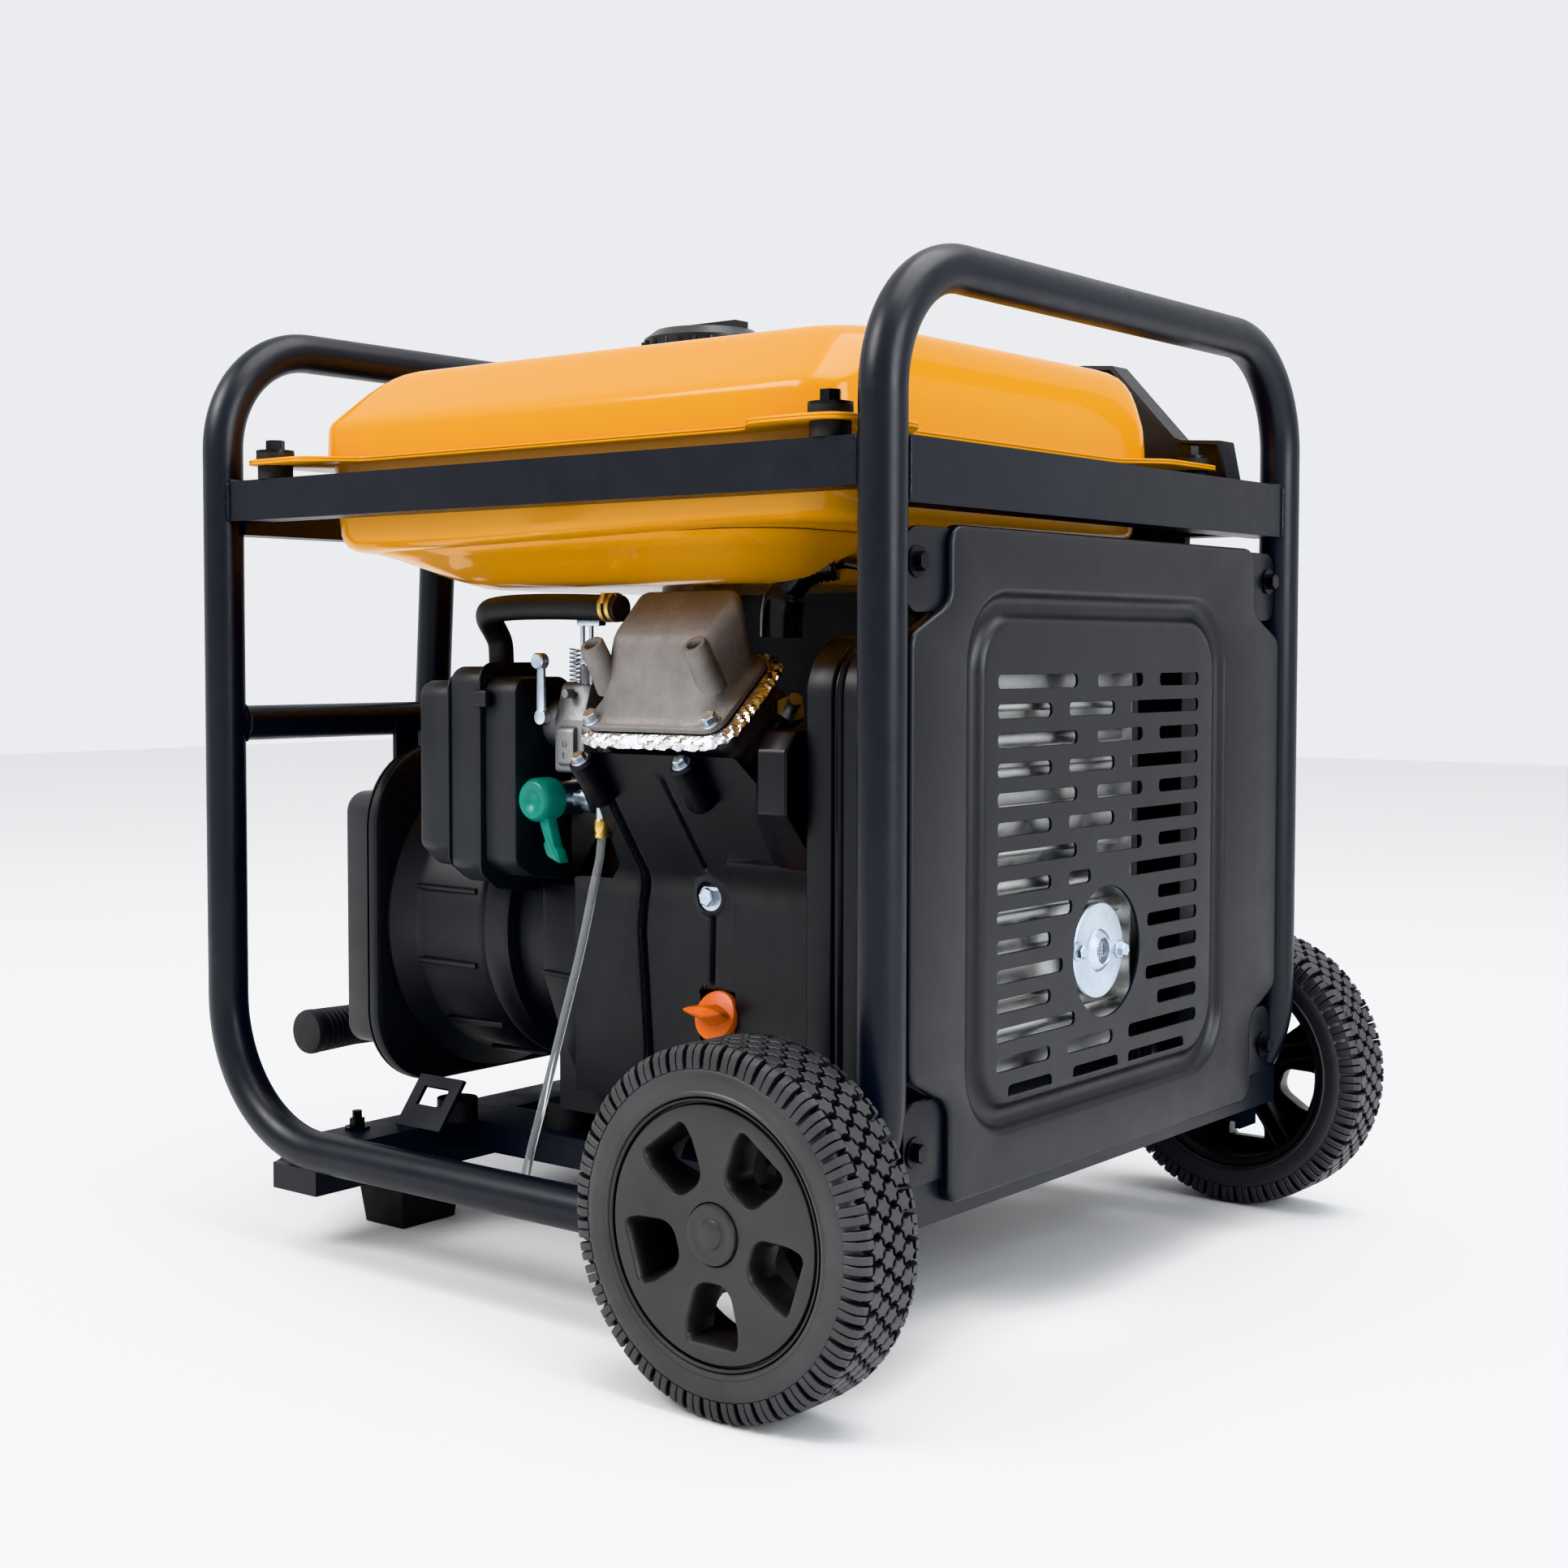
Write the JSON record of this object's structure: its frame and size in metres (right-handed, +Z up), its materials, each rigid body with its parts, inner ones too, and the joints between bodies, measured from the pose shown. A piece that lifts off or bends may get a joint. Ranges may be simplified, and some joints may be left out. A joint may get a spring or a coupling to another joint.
{
  "type": "portable generator",
  "caption": "Portable petrol generator in a black tube frame with two rear wheels, a fold-down tow handle, a yellow fuel tank and a louvred muffler panel.",
  "frame": {"origin": "centre of the object's box, on the ground under it", "axes": "+X along the length towards the wheels and the muffler panel, +Y towards the control panel, +Z up; the engine service side faces -Y"},
  "size_m": [0.7124, 0.667, 0.651],
  "materials": {
    "frame_black": "satin",
    "panel_black": "satin",
    "zinc": "satin",
    "black_bolt": "satin",
    "rubber_black": "matt",
    "tyre_black": "matt",
    "rim_black": "matt",
    "grip_rubber": "matt",
    "tank_yellow": "gloss",
    "brass": "satin",
    "cap_black": "gloss",
    "muffler_steel": "satin",
    "cast_aluminium": "satin",
    "cover_aluminium": "matt",
    "foil": "gloss",
    "shroud_black": "satin",
    "boot_black": "gloss",
    "filter_black": "satin",
    "hose_black": "matt",
    "lever_teal": "satin",
    "clear_tube": "gloss",
    "cap_orange": "satin",
    "steel": "satin",
    "copper": "satin",
    "alternator_black": "satin",
    "control_black": "satin",
    "outlet_black": "satin",
    "button_red": "satin"
  },
  "bodies": {
    "root": {"hoop_wheel_end": "frame_black", "hoop_handle_end": "frame_black", "bottom_rails": "frame_black", "side_rails": "frame_black", "end_rails": "frame_black", "cross_tube": "frame_black", "base_frame": "frame_black", "feet": "rubber_black", "axle_brackets": "frame_black", "axle_bolts": "zinc", "handle_bracket": "frame_black", "handle_pin": "zinc", "tank_upper": "tank_yellow", "tank_lower": "tank_yellow", "tank_mounts": "rubber_black", "tank_bolts": "black_bolt", "filler_neck": "brass", "muffler_panel": "panel_black", "frame_bolts": "black_bolt", "muffler": "muffler_steel", "spark_arrestor": "zinc", "engine_mounts": "rubber_black", "crankcase": "alternator_black", "cylinder_head": "cast_aluminium", "valve_cover": "cover_aluminium", "cover_gasket": "foil", "engine_bolts": "zinc", "shroud": "shroud_black", "fan_housing": "shroud_black", "spark_plug": "steel", "plug_boot": "boot_black", "ignition_lead": "hose_black", "carburettor": "cast_aluminium", "air_filter_case": "filter_black", "air_filter_cover": "filter_black", "breather_hose": "hose_black", "fuel_valve": "zinc", "drain_tube": "clear_tube", "stator": "copper", "alternator_housing": "alternator_black", "alternator_cover": "alternator_black", "control_panel": "control_black", "outlets": "outlet_black", "inverter": "cast_aluminium"},
    "wheel_near": {"tyre_near": "tyre_black", "rim_near": "rim_black", "hub_cap_near": "rim_black"},
    "wheel_far": {"tyre_far": "tyre_black", "rim_far": "rim_black", "hub_cap_far": "rim_black"},
    "tow_handle": {"handle_stem": "frame_black", "handle_grips": "grip_rubber"},
    "cap": {"fuel_cap": "cap_black"},
    "oil_plug": {"oil_cap": "cap_orange"},
    "valve_lever": {"fuel_lever": "lever_teal"},
    "choke": {"choke_lever": "zinc"},
    "crank": {"crankshaft": "steel"},
    "starter": {"starter_grip": "grip_rubber"},
    "breaker": {"breaker_button": "button_red"},
    "switch": {"engine_switch": "button_red"}
  },
  "joints": [
    {"name": "wheel_near_spin", "type": "hinge", "parent": "root", "child": "wheel_near", "pos_m": [0.25267, -0.304, 0.1035], "axis": [0, 1, 0], "continuous": true},
    {"name": "wheel_far_spin", "type": "hinge", "parent": "root", "child": "wheel_far", "pos_m": [0.25267, 0.304, 0.1035], "axis": [0, 1, 0], "continuous": true},
    {"name": "handle_fold", "type": "hinge", "parent": "root", "child": "tow_handle", "pos_m": [-0.31633, 0, 0.508], "axis": [0, 1, 0], "range_deg": [0, 96]},
    {"name": "fuel_cap_turn", "type": "hinge", "parent": "root", "child": "cap", "pos_m": [0.00417, -0.042, 0.62], "axis": [0, 0, 1], "range_deg": [0, 90]},
    {"name": "oil_cap_turn", "type": "hinge", "parent": "root", "child": "oil_plug", "pos_m": [0.08417, -0.106, 0.172], "axis": [0, -0.9511, 0.309], "range_deg": [0, 360]},
    {"name": "fuel_lever_turn", "type": "hinge", "parent": "root", "child": "valve_lever", "pos_m": [-0.05183, -0.14, 0.317], "axis": [0, 1, 0], "range_deg": [-70, 0]},
    {"name": "choke_turn", "type": "hinge", "parent": "root", "child": "choke", "pos_m": [-0.04583, -0.151, 0.374], "axis": [0, 1, 0], "range_deg": [0, 55]},
    {"name": "crank_spin", "type": "hinge", "parent": "root", "child": "crank", "pos_m": [0.01617, 0, 0.214], "axis": [1, 0, 0], "continuous": true},
    {"name": "starter_pull", "type": "slide", "parent": "root", "child": "starter", "axis": [-1, 0, 0], "range_m": [0, 0.13]},
    {"name": "breaker_press", "type": "slide", "parent": "root", "child": "breaker", "axis": [0, -1, 0], "range_m": [0, 0.004], "stiffness_N_per_m": 400},
    {"name": "switch_rock", "type": "hinge", "parent": "root", "child": "switch", "pos_m": [0.16617, 0.2345, 0.4], "axis": [1, 0, 0], "range_deg": [-10, 10]}
  ]
}
